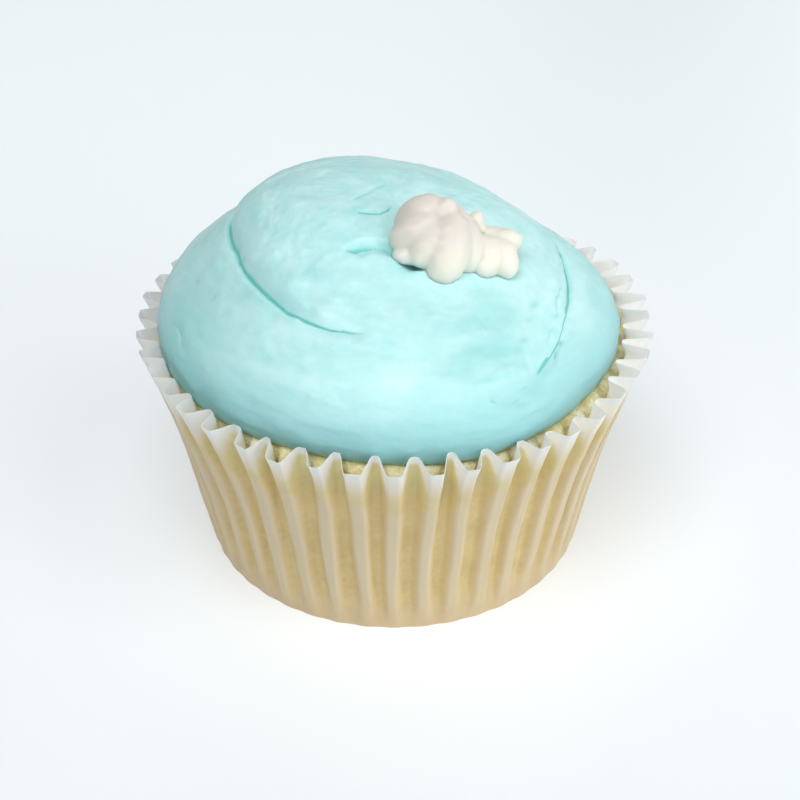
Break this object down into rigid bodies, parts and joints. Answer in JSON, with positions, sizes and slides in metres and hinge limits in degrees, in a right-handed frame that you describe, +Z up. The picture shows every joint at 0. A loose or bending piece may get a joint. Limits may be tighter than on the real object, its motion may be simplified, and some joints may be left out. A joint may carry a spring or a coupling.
{
  "type": "iced cupcake in a paper cup",
  "caption": "Vanilla cupcake in a pleated paper cup, spread with a lopsided swirl of turquoise buttercream and topped with a piped cream rosette.",
  "frame": {"origin": "centre of the cup's flat base, on the surface it stands on", "axes": "+Z up through the icing, -Y the side the rosette leans towards, +X to the right of that side"},
  "size_m": [0.0652, 0.0652, 0.051],
  "materials": {
    "paper": "thin greaseproof paper, translucent where butter has soaked it",
    "sponge": "baked vanilla sponge with a moist golden crust",
    "buttercream": "smooth satin buttercream, turquoise",
    "cream": "soft white piped cream"
  },
  "bodies": {
    "root": {"paper_cup": "paper", "sponge_cake": "sponge", "buttercream_swirl": "buttercream", "cream_rosette": "cream"}
  },
  "joints": []
}
